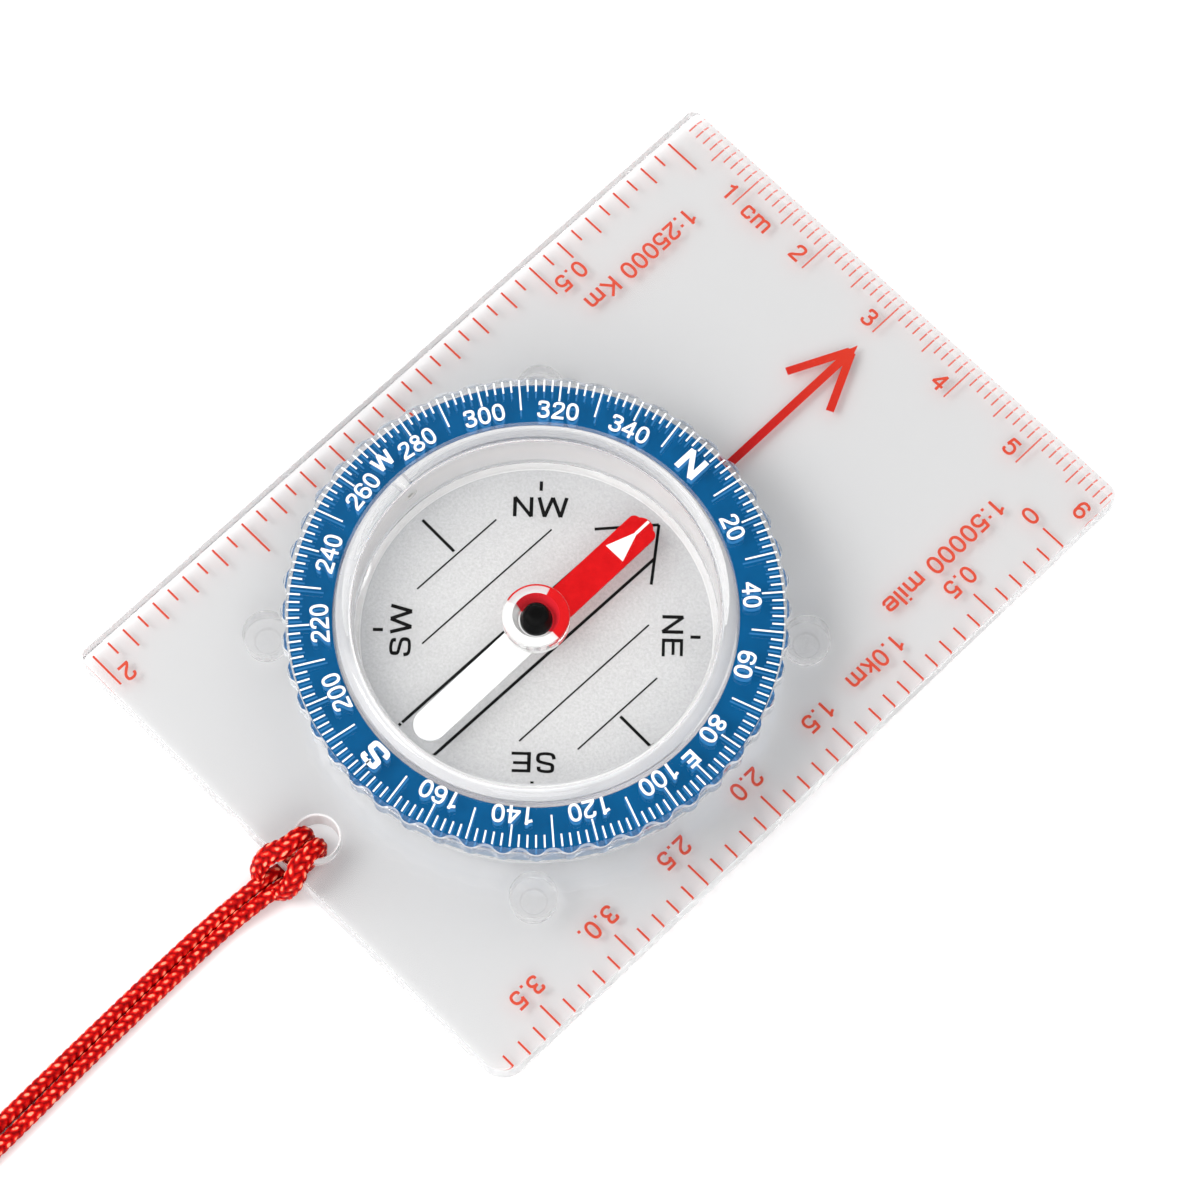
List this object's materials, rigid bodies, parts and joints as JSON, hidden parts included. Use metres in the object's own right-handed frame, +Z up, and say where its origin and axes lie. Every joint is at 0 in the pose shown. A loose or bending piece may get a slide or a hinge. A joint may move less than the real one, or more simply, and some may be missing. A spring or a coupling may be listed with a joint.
{
  "type": "baseplate compass",
  "caption": "Clear rectangular baseplate with map scales, a turning liquid capsule with a graduated bezel, a magnetic needle and a cord lanyard.",
  "frame": {"origin": "on the surface the compass rests on, under the centre of the baseplate", "axes": "+Y is the direction of travel, from the lanyard end to the ruler edge; +X is to its right; +Z up, out of the dial's face"},
  "size_m": [0.06, 0.1517, 0.0113],
  "materials": {
    "clear_acrylic": "polished clear moulding",
    "clear_silicone": "matt translucent",
    "milky_silicone": "matt translucent",
    "clear_acrylic_dial": "polished clear moulding",
    "smoke_blue_acrylic": "polished tinted moulding",
    "blue_plastic": "printed, glossy",
    "clear_capsule": "polished clear moulding",
    "plug_plastic": "satin",
    "steel_pin": "ground",
    "needle_enamel": "enamelled, north half red and south half white",
    "clear_hub": "glossy",
    "black_plastic": "glossy",
    "jewel": "polished",
    "red_cord": "braided",
    "tie_cord": "twisted",
    "ink_coral": "screen print",
    "ink_white": "screen print"
  },
  "bodies": {
    "baseplate": {"baseplate": "clear_acrylic", "grip_feet": "clear_silicone", "drag_ring": "milky_silicone", "lanyard_hitch": "red_cord", "lanyard_strand_left": "red_cord", "lanyard_strand_right": "red_cord", "lanyard_coil": "red_cord", "lanyard_coil_tie": "tie_cord", "lanyard_end_knot": "red_cord"},
    "dial": {"bezel": "clear_acrylic_dial", "bezel_skirt": "smoke_blue_acrylic", "scale_ring": "blue_plastic", "capsule_cover": "clear_capsule", "capsule_base": "clear_capsule", "fill_plug": "plug_plastic", "pivot_pin": "steel_pin", "retaining_ring": "clear_capsule"},
    "needle": {"needle_blade": "needle_enamel", "needle_hub": "clear_hub", "bearing_cap": "black_plastic", "jewel_bearing": "jewel"}
  },
  "joints": [
    {"name": "dial_rotation", "type": "hinge", "parent": "baseplate", "child": "dial", "pos_m": [0, -0.0092, 0.004], "axis": [0, 0, 1], "continuous": true},
    {"name": "needle_swing", "type": "hinge", "parent": "dial", "child": "needle", "pos_m": [0, -0.0092, 0.0084], "axis": [0, 0, 1], "continuous": true}
  ]
}
